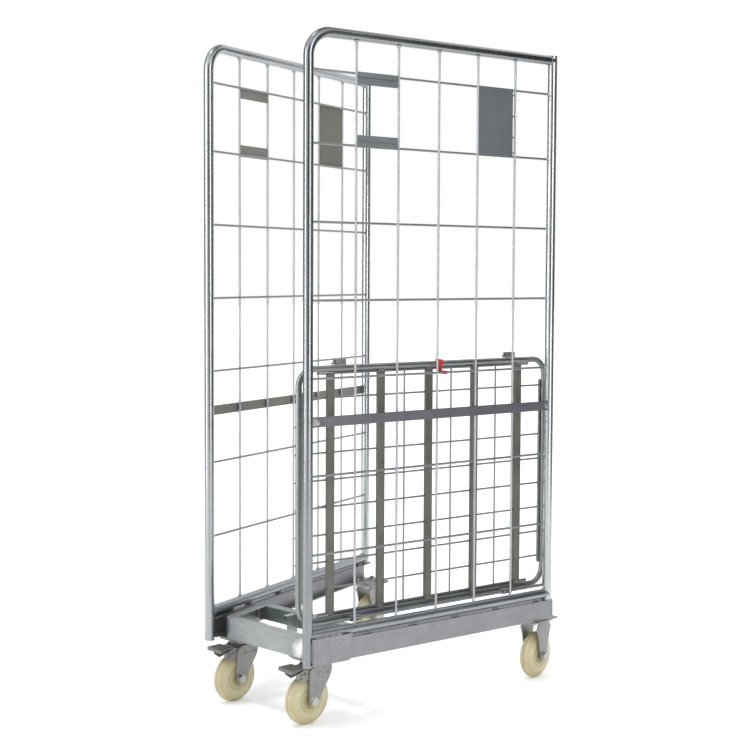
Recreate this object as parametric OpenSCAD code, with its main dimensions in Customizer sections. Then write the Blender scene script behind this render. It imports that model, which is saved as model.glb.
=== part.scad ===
// Nesting roll cage container: two fixed mesh sides set in an A plan on a
// channel base, a hinged deck folded up against the right side, two braked
// swivel casters at the narrow front and two fixed casters at the wide rear.
// X is across, Y runs from the narrow front (-Y) to the wide rear (+Y), Z is up.

/* [Overall] */
// Overall height above the floor
cage_h = 1690; // [1200:5:1900]
// Length of a side, front upright centre to rear upright centre
side_len = 778; // [600:1:1000]
// Gap between the two front upright centres
gap_front = 358; // [300:1:600]
// Gap between the two rear upright centres
gap_rear = 678; // [500:1:900]

/* [Side frames] */
// Outside diameter of the frame tube
tube_d = 25; // [20:0.5:35]
// Wall of the frame tube
tube_wall = 2; // [1:0.1:3]
// Centreline radius of the bend at the front top corner
bend_r = 60; // [40:1:120]
// Height of the open lower end of the front upright
upright_foot_z = 160; // [130:1:200]
// Height of the bottom tube centreline
bottom_tube_z = 235.5; // [220:0.5:280]
// Diameter of the mesh wires
wire_d = 6; // [4:0.5:8]
// Position along the side of the first upright wire
wire_first = 135; // [80:1:200]
// Pitch of the upright wires
wire_pitch = 127; // [80:1:160]
// Number of upright wires in a side
wire_count = 5; // [3:1:9]
// Heights of the level wires, top to bottom
level_z = [1588, 1415, 1229, 1042, 855, 620, 429]; // [300:1:1700]
// Height of the flat waist band centre
band_z = 752; // [600:1:900]
// Width of the flat waist band
band_w = 25; // [20:1:40]
// Thickness of the flat waist band
band_t = 4; // [2:0.5:6]

/* [Card holder] */
// Width of one folded card strip
strip_h = 30; // [20:1:50]
// Sheet thickness of the strips and the label plate
sheet_t = 1.5; // [1:0.1:3]
// Front lip of a card strip
strip_lip = 12; // [6:1:20]
// Clear side gap between the label plate and the next wire
plate_gap = 3; // [0:0.5:6]

/* [Base] */
// Top of the rails and of the front ring
rail_top = 218; // [200:1:260]
// Height of the rail and ring channels
rail_h = 52; // [40:1:70]
// Sheet thickness of the channels
rail_t = 3; // [2:0.5:5]
// Flange width of the side rails
rail_flange = 28; // [20:1:45]
// Rail length past the rear upright centre
rail_over = 12; // [5:1:40]
// Gusset length along the side
gusset_len = 120; // [80:1:160]
// Gusset height
gusset_h = 66; // [50:1:90]
// Gusset plate thickness
gusset_t = 5; // [3:0.5:8]
// Ring channel outer face, inward from the side plane
ring_in = 24; // [20:1:40]
// Width of the ring's lower flange
ring_flange = 30; // [20:1:45]
// Width of the ring's upper flange
ring_lip = 30; // [12:1:45]
// Outer corner radius of the ring
ring_r = 40; // [31:1:60]
// Front face of the ring, from the middle of the length
ring_front = 355; // [330:1:370]
// Rear face of the ring cross member, from the middle of the length
ring_back = 195; // [180:1:260]
// Height of the cross member channel
cross_h = 38; // [25:1:60]
// Thickness of the caster seat plates
seat_t = 4; // [3:0.5:8]

/* [Deck] */
// Deck length, tube centre to tube centre
deck_l = 794; // [600:1:900]
// Deck width, tube centre to tube centre
deck_w = 616; // [500:1:700]
// Outside diameter of the deck frame tube
deck_tube = 16; // [12:0.5:22]
// Wall of the deck frame tube
deck_wall = 1.5; // [1:0.1:2.5]
// Centreline corner radius of the deck frame
deck_r = 42; // [25:1:80]
// Deck frame plane, inward from the side plane
deck_in = 34; // [30:1:60]
// Deck front tube, along the side from the front upright
deck_u0 = -4.5; // [-20:0.5:40]
// Height of the lower deck tube while the deck is folded up
deck_z0 = 260; // [255:0.5:300]
// Diameter of the inner stiffener rods
stiff_d = 8; // [6:0.5:12]
// Stiffener ends, back from the deck corners
stiff_inset = 56; // [45:1:90]
// Deck slat width
slat_w = 20; // [12:1:40]
// Deck slat depth
slat_h = 10; // [6:0.5:16]
// Deck slat sheet thickness
slat_t = 2; // [1:0.1:3]
// Deck slat pitch
slat_pitch = 152; // [80:1:200]
// Diameter of the deck wires
deck_wire = 5; // [4:0.5:8]
// Number of long deck wires
deck_wires = 8; // [5:1:14]
// Hinge rod diameter
rod_d = 8; // [6:0.5:12]
// Hinge rod axis, inward from the side plane
rod_in = 8; // [4:0.5:12]
// Hinge rod axis height
rod_z = 258; // [250:0.5:300]
// Radial running clearance of every pivot
run_gap = 0.06; // [0.02:0.01:0.1]
// Outside diameter of the hinge sleeves
sleeve_d = 14; // [12:0.5:16]
// Length of one hinge sleeve
sleeve_l = 30; // [16:1:50]
// Hinge sleeve centre, back from the deck end
sleeve_inset = 150; // [60:1:250]
// Edge hook centre, back from the deck end
hook_inset = 122; // [60:1:250]
// Plastic clip centre, along the side
clip_u = 418; // [300:1:500]

/* [Casters] */
// Wheel diameter
wheel_d = 125; // [100:1:160]
// Wheel width over the hub
wheel_w = 40; // [30:1:50]
// Swivel axis of a front caster, from the middle of the width
swivel_x = 134; // [100:1:150]
// Swivel axis of a front caster, forward of the middle of the length
swivel_y = 300; // [260:1:310]
// Trail of the swivel casters
trail = 34; // [25:1:50]
// Rest angle of the right swivel caster
toe_right = -8; // [-30:1:30]
// Rest angle of the left swivel caster
toe_left = -4; // [-30:1:30]
// Fixed caster centre, from the middle of the width
fixed_x = 310; // [280:1:330]
// Fixed caster centre, behind the middle of the length
fixed_y = 372; // [340:1:390]
// Thickness of the caster top plates
plate_t = 4; // [3:0.5:6]
// Inside half width of the caster forks
fork_in = 25; // [22:0.5:30]
// Fork sheet thickness
fork_t = 4; // [2.5:0.5:6]
// Axle bolt diameter
axle_d = 12; // [8:1:16]
// Kingpin diameter
king_d = 12; // [8:1:16]
// Caster fixing bolt diameter
bolt_d = 8; // [6:1:12]

/* [Hidden] */
$fn = 96;
tilt = asin((gap_rear - gap_front) / 2 / side_len);
half_y = side_len * cos(tilt) / 2;
shift_y = (half_y + tube_d / 2 - fixed_y - wheel_d / 2) / 2;
top_z = cage_h - tube_d / 2;
rail_bot = rail_top - rail_h;
seat_bot = rail_bot - seat_t;
plate_bot = seat_bot - plate_t;
axle_z = wheel_d / 2;
deck_z1 = deck_z0 + deck_w;
deck_u1 = deck_u0 + deck_l;
deck_mid = (deck_u0 + deck_u1) / 2;
load_x = -deck_in - deck_tube / 2;
stiff_x = load_x + stiff_d / 2;
stiff_off = sqrt(pow((deck_tube + stiff_d) / 2, 2) - pow(deck_in + stiff_x, 2));
ring_c = gap_front / 2 * cos(tilt) + half_y * sin(tilt) - ring_in;
ring_ky = -ring_front + ring_r;
ring_kx = (ring_c - ring_r + sin(tilt) * ring_ky) / cos(tilt);
crown_z = plate_bot - 14;
race_gap = 0.4;
swivel_bolts = [16, 32];
fixed_bolts = [20, 33];
wires_u = [for (i = [0 : wire_count - 1]) wire_first + i * wire_pitch];
last_u = wires_u[wire_count - 1];

// ---------- placing ----------
module right_side() translate([gap_front / 2, shift_y - half_y, 0]) rotate([0, 0, -tilt]) children();
module left_side() mirror([1, 0, 0]) right_side() children();
module swivel_at(s) translate([s * swivel_x, shift_y - swivel_y, 0]) rotate([0, 0, s > 0 ? toe_right : toe_left]) children();
module fixed_at(s) translate([s * fixed_x, shift_y + fixed_y, 0]) children();
module base() translate([0, shift_y, 0]) children();

// ---------- stock ----------
module bar_y(d, x, z, y0, y1) translate([x, y0, z]) rotate([-90, 0, 0]) cylinder(d = d, h = y1 - y0);
module bar_z(d, x, y, z0, z1) translate([x, y, z0]) cylinder(d = d, h = z1 - z0);
module bar_x(d, y, z, x0, x1) translate([x0, y, z]) rotate([0, 90, 0]) cylinder(d = d, h = x1 - x0);
module block(x0, x1, y0, y1, z0, z1) translate([x0, y0, z0]) cube([x1 - x0, y1 - y0, z1 - z0]);
module bend(d, r, x, y, z, a0) translate([x, y, z]) rotate([90, 0, -90]) rotate([0, 0, a0])
  rotate_extrude(angle = 90) translate([r, 0]) circle(d = d);
module profile_yz(x0, x1) translate([x0, 0, 0]) rotate([90, 0, 90]) linear_extrude(height = x1 - x0) children();
module hex_x(af, y, z, x0, x1) translate([x0, y, z]) rotate([0, 90, 0]) cylinder(d = af / cos(30), h = x1 - x0, $fn = 6);
module hex_z(af, x, y, z0, z1) translate([x, y, z0]) cylinder(d = af / cos(30), h = z1 - z0, $fn = 6);

// ---------- one side frame, x outward, y along the side ----------
module frame_run(d) {
  bar_z(d, 0, 0, upright_foot_z - (d < tube_d ? 1 : 0), top_z - bend_r);
  bend(d, bend_r, 0, bend_r, top_z - bend_r, 0);
  bar_y(d, 0, top_z, bend_r, side_len);
}
module uprights_solid() {
  bar_z(tube_d, 0, 0, 100, cage_h);
  bar_z(tube_d, 0, side_len, 100, cage_h);
}
module frame_tube() difference() {
  frame_run(tube_d);
  frame_run(tube_d - 2 * tube_wall);
  bar_z(tube_d, 0, side_len, rail_top, cage_h + 20);
}
module rear_upright() difference() {
  bar_z(tube_d, 0, side_len, rail_top, cage_h);
  bar_z(tube_d - 2 * tube_wall, 0, side_len, rail_top - 1, cage_h - tube_wall);
}
module bottom_tube() difference() {
  bar_y(tube_d, 0, bottom_tube_z, 0, side_len);
  bar_y(tube_d - 2 * tube_wall, 0, bottom_tube_z, -1, side_len + 1);
  uprights_solid();
}
module upright_wires() difference() {
  for (u = wires_u) bar_z(wire_d, wire_d / 2, u, bottom_tube_z, top_z);
  bar_y(tube_d, 0, bottom_tube_z, 0, side_len);
  bar_y(tube_d, 0, top_z, 0, side_len);
}
module level_wires() difference() {
  for (z = level_z) bar_y(wire_d, -wire_d / 2, z, 0, side_len);
  uprights_solid();
}
module waist_band() difference() {
  block(wire_d, wire_d + band_t, 0, side_len, band_z - band_w / 2, band_z + band_w / 2);
  uprights_solid();
}
module card_strip(z_wire, dir) {
  u0 = wires_u[0] + wire_d / 2; u1 = wires_u[1] - wire_d / 2;
  z_out = z_wire + dir * 4; z_in = z_out - dir * strip_h; z_lip = z_out - dir * strip_lip; z_web = z_out - dir * sheet_t;
  block(0, sheet_t, u0, u1, min(z_out, z_in), max(z_out, z_in));
  block(0, wire_d - 0.5, u0, u1, min(z_out, z_web), max(z_out, z_web));
  block(wire_d - 0.5 - sheet_t, wire_d - 0.5, u0, u1, min(z_out, z_lip), max(z_out, z_lip));
}
module card_strips() { card_strip(level_z[0], 1); card_strip(level_z[1], -1); }
module label_plate() block(0, sheet_t, last_u - wire_pitch + wire_d / 2, last_u - wire_d / 2 - plate_gap,
  level_z[1] - 3, level_z[0] + 3);
module rail() difference() {
  x1 = tube_d / 2;
  block(x1 - rail_flange, x1, 9, side_len + rail_over, rail_bot, rail_top);
  block(x1 - rail_flange - 1, x1 - rail_t, -1, side_len + rail_over + 1, rail_bot + rail_t, rail_top - rail_t);
  bar_z(tube_d, 0, 0, 100, 400);
  side_bolt_holes();
}
module gusset() difference() {
  block(tube_d / 2, tube_d / 2 + gusset_t, 4, gusset_len, rail_bot - 2, rail_bot - 2 + gusset_h);
  translate([tube_d / 2 + gusset_t, gusset_len, rail_bot - 2]) rotate([0, -90, 0])
    linear_extrude(height = gusset_t) polygon([[-1, 1], [10, 1], [-1, -10]]);
}

// ---------- base ----------
module ring_area(d, back) {
  sx = (ring_c - d + sin(tilt) * -back) / cos(tilt);
  tx = ring_kx + (ring_r - d) * cos(tilt); ty = ring_ky - (ring_r - d) * sin(tilt);
  polygon([[-ring_kx, -ring_front + d], [ring_kx, -ring_front + d], [ring_kx, ring_ky], [tx, ty], [sx, -back],
    [-sx, -back], [-tx, ty], [-ring_kx, ring_ky]]);
  for (s = [-1, 1]) translate([s * ring_kx, ring_ky]) circle(r = ring_r - d);
}
module ring_web(z0, z1, d, back) translate([0, 0, z0]) linear_extrude(height = z1 - z0) difference() {
  ring_area(0, back);
  ring_area(d, back - 5);
}
module front_ring() difference() {
  union() {
    ring_web(rail_bot, rail_top, rail_t, ring_back);
    ring_web(rail_bot, rail_bot + rail_t, ring_flange, ring_back);
    ring_web(rail_top - rail_t, rail_top, ring_lip, ring_back + rail_t);
  }
  swivel_bolt_holes();
}
module cross_member() intersection() {
  difference() {
    block(-230, 230, -ring_back - rail_t, -ring_back + 25, rail_top - cross_h, rail_top);
    block(-231, 231, -ring_back, -ring_back + 26, rail_top - cross_h - 1, rail_top - rail_t);
  }
  translate([0, 0, rail_bot]) linear_extrude(height = rail_h + 1) ring_area(rail_t, ring_back - 30);
}
module cross_bracket() {
  yf = -ring_back - rail_t;
  block(-45, -42, yf - 36, yf, rail_bot + 4, rail_top);
  block(-58, -45, yf - 36, yf - 6, rail_top - 3, rail_top);
  block(-58, -55, yf - 36, yf - 6, rail_top - 11, rail_top - 3);
}
module seat_at(s) difference() {
  block(min(s * 84, s * 190), max(s * 84, s * 190), -ring_front + 3, -ring_back - 36, seat_bot, rail_bot);
  swivel_bolt_holes();
}
module front_seats() { seat_at(1); seat_at(-1); }
module rear_seats() for (s = [-1, 1]) difference() {
  translate([s * (fixed_x + 2), fixed_y, 0]) block(-40, 40, -48, 46, seat_bot, rail_bot);
  fixed_bolt_holes();
}
module swivel_bolt_holes() for (s = [-1, 1], a = [-1, 1], b = [-1, 1])
  bar_z(bolt_d, s * swivel_x + a * swivel_bolts[0], -swivel_y + b * swivel_bolts[1], plate_bot - 20, rail_bot + 20);
module fixed_bolt_holes() for (s = [-1, 1], a = [-1, 1], b = [-1, 1])
  bar_z(bolt_d, s * (fixed_x + a * fixed_bolts[0]), fixed_y + b * fixed_bolts[1], plate_bot - 20, rail_bot + 20);
// the same holes seen from a side frame's own axes
module side_bolt_holes() rotate([0, 0, tilt]) translate([-gap_front / 2, half_y, 0]) for (a = [-1, 1], b = [-1, 1])
  bar_z(bolt_d, fixed_x + a * fixed_bolts[0], fixed_y + b * fixed_bolts[1], plate_bot - 20, rail_bot + 20);
module caster_bolt(x, y, seat_up) {
  bar_z(bolt_d, x, y, plate_bot, seat_up + 8);
  hex_z(13, x, y, plate_bot - 5.3, plate_bot);
  hex_z(13, x, y, seat_up, seat_up + 6.5);
}
module caster_bolts() for (s = [-1, 1]) {
  for (a = [-1, 1], b = [-1, 1]) {
    inner = s * a < 0;
    caster_bolt(s * swivel_x + a * swivel_bolts[0], -swivel_y + b * swivel_bolts[1], rail_bot + rail_t);
    if (inner && b > 0) bar_z(17, s * swivel_x + a * swivel_bolts[0], -swivel_y + b * swivel_bolts[1], rail_bot, rail_bot + rail_t);
  }
  for (a = [-1, 1], b = [-1, 1])
    caster_bolt(s * (fixed_x + a * fixed_bolts[0]), fixed_y + b * fixed_bolts[1], rail_bot + (a > 0 && b < 0 ? rail_t : 0));
}
module hinge_rod() difference() {
  bar_y(rod_d, -rod_in, rod_z, 0, side_len);
  uprights_solid();
}

// ---------- deck, folded up, in the right side's axes ----------
module deck_run(d) {
  x = -deck_in; r = deck_r;
  for (z = [deck_z0, deck_z1]) bar_y(d, x, z, deck_u0 + r, deck_u1 - r);
  for (u = [deck_u0, deck_u1]) bar_z(d, x, u, deck_z0 + r, deck_z1 - r);
  bend(d, r, x, deck_u0 + r, deck_z1 - r, 0);
  bend(d, r, x, deck_u1 - r, deck_z1 - r, 90);
  bend(d, r, x, deck_u1 - r, deck_z0 + r, 180);
  bend(d, r, x, deck_u0 + r, deck_z0 + r, 270);
}
module deck_frame() difference() { deck_run(deck_tube); deck_run(deck_tube - 2 * deck_wall); }
module stiff_levels() for (z = [deck_z0 + stiff_off, deck_z1 - stiff_off])
  bar_y(stiff_d, stiff_x, z, deck_u0 + stiff_inset, deck_u1 - stiff_inset);
module deck_stiffeners() {
  stiff_levels();
  for (u = [deck_u0 + stiff_off, deck_u1 - stiff_off]) bar_z(stiff_d, stiff_x, u, deck_z0 + stiff_inset, deck_z1 - stiff_inset);
}
module deck_slats() difference() {
  for (i = [-2 : 2]) difference() {
    block(load_x, load_x + slat_h, deck_mid + i * slat_pitch - slat_w / 2, deck_mid + i * slat_pitch + slat_w / 2,
      deck_z0 + stiff_off, deck_z1 - stiff_off);
    block(load_x - 1, load_x + slat_h - slat_t, deck_mid + i * slat_pitch - slat_w / 2 + slat_t,
      deck_mid + i * slat_pitch + slat_w / 2 - slat_t, deck_z0, deck_z1);
  }
  stiff_levels();
}
module deck_long_wires() for (i = [1 : deck_wires])
  bar_y(deck_wire, load_x - deck_wire / 2, deck_z0 + 5 + i * (deck_w - 10) / (deck_wires + 1), deck_u0, deck_u1);
module deck_cross_wires() difference() {
  for (i = [-1.5 : 1 : 1.5]) bar_z(deck_wire, load_x + deck_wire / 2, deck_mid + i * slat_pitch, deck_z0 + stiff_off, deck_z1 - stiff_off);
  stiff_levels();
}
module deck_hinge_sleeves() difference() {
  for (u = [deck_u0 + sleeve_inset, deck_u1 - sleeve_inset]) {
    bar_y(sleeve_d, -rod_in, rod_z, u - sleeve_l / 2, u + sleeve_l / 2);
    block(-deck_in, -rod_in, u - sleeve_l / 2, u + sleeve_l / 2, rod_z - 4, rod_z + 5);
  }
  bar_y(rod_d + 2 * run_gap, -rod_in, rod_z, -20, side_len + 20);
  bar_y(deck_tube, -deck_in, deck_z0, -20, side_len + 20);
}
module deck_edge_hooks() difference() {
  for (u = [deck_u0 + hook_inset, deck_u1 - hook_inset]) {
    block(-deck_in - 2, -deck_in + 2, u - 15, u + 15, deck_z1, deck_z1 + 22);
    block(-deck_in - 12, -deck_in + 2, u - 15, u + 15, deck_z1 + 18, deck_z1 + 22);
    block(-deck_in - 12, -deck_in - 9, u - 15, u + 15, deck_z1 + 12, deck_z1 + 18);
    bar_y(6, -deck_in - 5, deck_z1 + 11.5, u - 24, u + 15);
  }
  bar_y(deck_tube, -deck_in, deck_z1, -20, side_len + 20);
}
module deck_clip() {
  z5 = level_z[4]; w = 11; top = deck_z1 + deck_tube / 2; xw = -deck_in + deck_tube / 2 + 2;
  difference() {
    union() {
      block(xw, 1, clip_u - w / 2, clip_u + w / 2, z5 - 4.4, z5 + 4.4);
      block(xw, xw + 3.5, clip_u - w / 2, clip_u + w / 2, z5 - 4.4, top + 3.8);
      block(-deck_in - 3, xw + 3.5, clip_u - w / 2, clip_u + w / 2, top + 0.8, top + 3.8);
      translate([0, 0, top - 11]) profile_yz(xw + 3.5, xw + 6.5)
        polygon([[clip_u - w / 2, 0], [clip_u + w / 2, 0], [clip_u + w / 2 + 5, 5], [clip_u + w / 2 - 1, 14], [clip_u - w / 2, 14], [clip_u - w / 2 - 6, 4]]);
    }
    bar_y(wire_d, -wire_d / 2, z5, clip_u - w, clip_u + w);
    block(-wire_d / 2, 5, clip_u - w, clip_u + w, z5 - 2, z5 + 2);
  }
}

// ---------- swivel caster, trailing towards -y ----------
module swivel_plate() {
  difference() {
    block(-42, 42, -50, 50, plate_bot, seat_bot);
    for (a = [-1, 1], b = [-1, 1]) bar_z(bolt_d, a * swivel_bolts[0], b * swivel_bolts[1], 0, 300);
    bar_z(king_d, 0, 0, 0, 300);
  }
  difference() {
    bar_z(52, 0, 0, crown_z + 8 + race_gap, plate_bot);
    bar_z(king_d, 0, 0, 0, 300);
  }
}
module kingpin() {
  bar_z(king_d, 0, 0, crown_z - race_gap, seat_bot);
  bar_z(20, 0, 0, crown_z - race_gap - 4, crown_z - race_gap);
}
module swivel_fork() difference() {
  union() {
    block(-fork_in - fork_t, fork_in + fork_t, -32, 21, crown_z, crown_z + 4);
    bar_z(60, 0, 0, crown_z, crown_z + 4);
    bar_z(56, 0, 0, crown_z + 4, crown_z + 8);
    for (x = [-fork_in - fork_t, fork_in]) {
      profile_yz(x, x + fork_t) polygon([[21, crown_z + 4], [22, crown_z - 8], [18, crown_z - 24],
        [-trail + 12, axle_z - 5], [-trail - 12, axle_z - 5], [-trail - 12, crown_z - 7], [-32, crown_z + 4]]);
      bar_x(26, -trail, axle_z, x, x + fork_t);
    }
  }
  bar_z(king_d + 2 * run_gap, 0, 0, 0, 300);
  bar_x(axle_d, -trail, axle_z, -60, 60);
}
module brake_housing() {
  for (s = [-1, 1]) {
    x0 = s > 0 ? fork_in - 3 : -fork_in;
    difference() {
      profile_yz(x0, x0 + 3) polygon([[-30, crown_z], [-56, crown_z], [-82, crown_z - 8], [-82, crown_z - 18],
        [-66, crown_z - 30], [-30, crown_z - 22]]);
      bar_x(6, -58, crown_z - 10, -40, 40);
    }
    for (p = [[-68, -12], [-70, -21]]) bar_x(5, p[0], crown_z + p[1], s > 0 ? fork_in : -fork_in - 2, s > 0 ? fork_in + 2 : -fork_in);
  }
  block(-fork_in, fork_in, -56, -30, crown_z - 3, crown_z);
  bar_x(6, -58, crown_z - 10, -fork_in - 2, fork_in + 2);
}
module brake_pedal() difference() {
  union() {
    for (x = [-20, 17]) {
      bar_x(12, -58, crown_z - 10, x, x + 3);
      profile_yz(x, x + 3) polygon([[-54, crown_z - 8], [-61, crown_z + 2], [-92, crown_z + 2], [-90, crown_z - 4], [-64, crown_z - 14]]);
    }
    block(-28, 28, -98, -60, crown_z + 1, crown_z + 4);
    block(-28, 28, -100, -96, crown_z - 5, crown_z + 4);
    block(-19, 19, -67, -61, crown_z - 17, crown_z - 12);
    for (y = [-92 : 7 : -64]) block(-22, 22, y, y + 2, crown_z + 4, crown_z + 5);
  }
  bar_x(6 + 2 * run_gap, -58, crown_z - 10, -40, 40);
}

// ---------- axle and wheel ----------
module axle_set(y, half) {
  bar_x(axle_d, y, axle_z, -half - 10, half + 7);
  hex_x(19, y, axle_z, half + 1, half + 8);
  hex_x(19, y, axle_z, -half - 9, -half - 1);
  bar_x(24, y, axle_z, -half - 1, -half);
  bar_x(24, y, axle_z, half, half + 1);
  for (x = [-fork_in, fork_in - 2]) bar_x(20, y, axle_z, x, x + 2);
}
module wheel(y) translate([0, y, axle_z]) rotate([0, 90, 0]) difference() {
  rotate_extrude() {
    w = wheel_w / 2; r = wheel_d / 2;
    polygon([[axle_d / 2 + run_gap, -w], [19, -w], [21.5, -w + 3.2], [27, -w + 3.4], [34, -w + 2.4], [41, -w + 2.8], [47, -w + 4.2],
      [52, -w + 6.4], [56, -w + 8.8], [59.4, -w + 11.6], [61.7, -w + 14], [r, -w + 16], [r, w - 16], [61.7, w - 14], [59.4, w - 11.6],
      [56, w - 8.8], [52, w - 6.4], [47, w - 4.2], [41, w - 2.8], [34, w - 2.4], [27, w - 3.4], [21.5, w - 3.2], [19, w], [axle_d / 2 + run_gap, w]]);
  }
}

// ---------- fixed caster ----------
module fixed_fork() difference() {
  union() {
    block(-fork_in - 7, fork_in + 7, -43, 43, plate_bot, seat_bot);
    for (x = [-fork_in - fork_t, fork_in]) {
      profile_yz(x, x + fork_t) polygon([[-22, plate_bot], [-32, plate_bot - 18], [-26, plate_bot - 34], [-12, axle_z - 5],
        [12, axle_z - 5], [26, plate_bot - 34], [32, plate_bot - 18], [22, plate_bot]]);
      bar_x(25, 0, axle_z, x, x + fork_t);
    }
  }
  for (a = [-1, 1], b = [-1, 1]) bar_z(bolt_d, a * fixed_bolts[0], b * fixed_bolts[1], plate_bot - 6, seat_bot + 6);
  bar_x(axle_d, 0, axle_z, -60, 60);
}

// ---------- named parts ----------
module right_frame_tube() color([0.72, 0.75, 0.78]) right_side() frame_tube();
module right_rear_upright() color([0.70, 0.73, 0.76]) right_side() rear_upright();
module right_bottom_tube() color([0.66, 0.69, 0.72]) right_side() bottom_tube();
module right_upright_wires() color([0.78, 0.80, 0.82]) right_side() upright_wires();
module right_level_wires() color([0.62, 0.65, 0.68]) right_side() level_wires();
module right_waist_band() color([0.50, 0.52, 0.56]) right_side() waist_band();
module right_card_strips() color([0.44, 0.49, 0.52]) right_side() card_strips();
module right_label_plate() color([0.42, 0.47, 0.50]) right_side() label_plate();
module right_rail() color([0.60, 0.62, 0.65]) right_side() rail();
module right_gusset() color([0.64, 0.66, 0.70]) right_side() gusset();
module left_frame_tube() color([0.72, 0.75, 0.78]) left_side() frame_tube();
module left_rear_upright() color([0.70, 0.73, 0.76]) left_side() rear_upright();
module left_bottom_tube() color([0.66, 0.69, 0.72]) left_side() bottom_tube();
module left_upright_wires() color([0.78, 0.80, 0.82]) left_side() upright_wires();
module left_level_wires() color([0.62, 0.65, 0.68]) left_side() level_wires();
module left_waist_band() color([0.50, 0.52, 0.56]) left_side() waist_band();
module left_card_strips() color([0.44, 0.49, 0.52]) left_side() card_strips();
module left_label_plate() color([0.42, 0.47, 0.50]) left_side() label_plate();
module left_rail() color([0.60, 0.62, 0.65]) left_side() rail();
module left_gusset() color([0.64, 0.66, 0.70]) left_side() gusset();
module right_swivel_plate() color([0.62, 0.62, 0.60]) base() translate([swivel_x, -swivel_y, 0]) swivel_plate();
module right_kingpin() color([0.55, 0.55, 0.55]) swivel_at(1) kingpin();
module right_swivel_fork() color([0.66, 0.65, 0.62]) swivel_at(1) swivel_fork();
module right_brake_housing() color([0.58, 0.57, 0.54]) swivel_at(1) brake_housing();
module right_brake_pedal() color([0.50, 0.50, 0.47]) swivel_at(1) brake_pedal();
module right_front_axle() color([0.75, 0.75, 0.75]) swivel_at(1) axle_set(-trail, fork_in + fork_t);
module right_front_wheel() color([0.90, 0.87, 0.70]) swivel_at(1) wheel(-trail);
module left_swivel_plate() color([0.62, 0.62, 0.60]) base() translate([-swivel_x, -swivel_y, 0]) swivel_plate();
module left_kingpin() color([0.55, 0.55, 0.55]) swivel_at(-1) kingpin();
module left_swivel_fork() color([0.66, 0.65, 0.62]) swivel_at(-1) swivel_fork();
module left_brake_housing() color([0.58, 0.57, 0.54]) swivel_at(-1) brake_housing();
module left_brake_pedal() color([0.50, 0.50, 0.47]) swivel_at(-1) brake_pedal();
module left_front_axle() color([0.75, 0.75, 0.75]) swivel_at(-1) axle_set(-trail, fork_in + fork_t);
module left_front_wheel() color([0.90, 0.87, 0.70]) swivel_at(-1) wheel(-trail);
module right_fixed_fork() color([0.66, 0.66, 0.66]) fixed_at(1) fixed_fork();
module right_rear_axle() color([0.75, 0.75, 0.75]) fixed_at(1) axle_set(0, fork_in + fork_t);
module right_rear_wheel() color([0.90, 0.87, 0.70]) fixed_at(1) wheel(0);
module left_fixed_fork() color([0.66, 0.66, 0.66]) fixed_at(-1) fixed_fork();
module left_rear_axle() color([0.75, 0.75, 0.75]) fixed_at(-1) axle_set(0, fork_in + fork_t);
module left_rear_wheel() color([0.90, 0.87, 0.70]) fixed_at(-1) wheel(0);

right_frame_tube();
right_rear_upright();
right_bottom_tube();
right_upright_wires();
right_level_wires();
right_waist_band();
right_card_strips();
right_label_plate();
right_rail();
right_gusset();
left_frame_tube();
left_rear_upright();
left_bottom_tube();
left_upright_wires();
left_level_wires();
left_waist_band();
left_card_strips();
left_label_plate();
left_rail();
left_gusset();
color([0.62, 0.65, 0.68]) right_side() hinge_rod();
color([0.60, 0.64, 0.66]) base() front_ring();
color([0.50, 0.54, 0.56]) base() cross_member();
color([0.66, 0.70, 0.72]) base() cross_bracket();
color([0.62, 0.62, 0.58]) base() front_seats();
color([0.62, 0.62, 0.58]) base() rear_seats();
color([0.75, 0.75, 0.72]) base() caster_bolts();
color([0.80, 0.10, 0.12]) right_side() deck_clip();
color([0.55, 0.57, 0.56]) right_side() deck_frame();
color([0.55, 0.57, 0.56]) right_side() deck_stiffeners();
color([0.48, 0.49, 0.45]) right_side() deck_slats();
color([0.52, 0.53, 0.52]) right_side() deck_long_wires();
color([0.52, 0.53, 0.52]) right_side() deck_cross_wires();
color([0.50, 0.52, 0.54]) right_side() deck_hinge_sleeves();
color([0.58, 0.60, 0.60]) right_side() deck_edge_hooks();
right_swivel_plate();
right_kingpin();
right_swivel_fork();
right_brake_housing();
right_brake_pedal();
right_front_axle();
right_front_wheel();
left_swivel_plate();
left_kingpin();
left_swivel_fork();
left_brake_housing();
left_brake_pedal();
left_front_axle();
left_front_wheel();
right_fixed_fork();
right_rear_axle();
right_rear_wheel();
left_fixed_fork();
left_rear_axle();
left_rear_wheel();
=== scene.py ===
import bpy
import math
from mathutils import Matrix, Vector, noise


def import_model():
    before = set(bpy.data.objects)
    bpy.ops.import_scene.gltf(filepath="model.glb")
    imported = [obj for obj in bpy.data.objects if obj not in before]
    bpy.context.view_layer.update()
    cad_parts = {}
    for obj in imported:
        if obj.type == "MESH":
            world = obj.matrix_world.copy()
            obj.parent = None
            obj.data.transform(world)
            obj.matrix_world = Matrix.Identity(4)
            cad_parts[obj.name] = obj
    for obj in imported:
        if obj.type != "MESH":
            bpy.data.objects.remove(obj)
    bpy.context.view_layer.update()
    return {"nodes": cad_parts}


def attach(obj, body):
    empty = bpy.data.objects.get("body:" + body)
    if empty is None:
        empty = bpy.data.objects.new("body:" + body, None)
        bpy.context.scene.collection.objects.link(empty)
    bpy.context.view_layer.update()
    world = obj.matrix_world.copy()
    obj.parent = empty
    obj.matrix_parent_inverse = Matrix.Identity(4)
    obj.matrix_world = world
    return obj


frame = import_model()
nodes = frame["nodes"]

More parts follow.
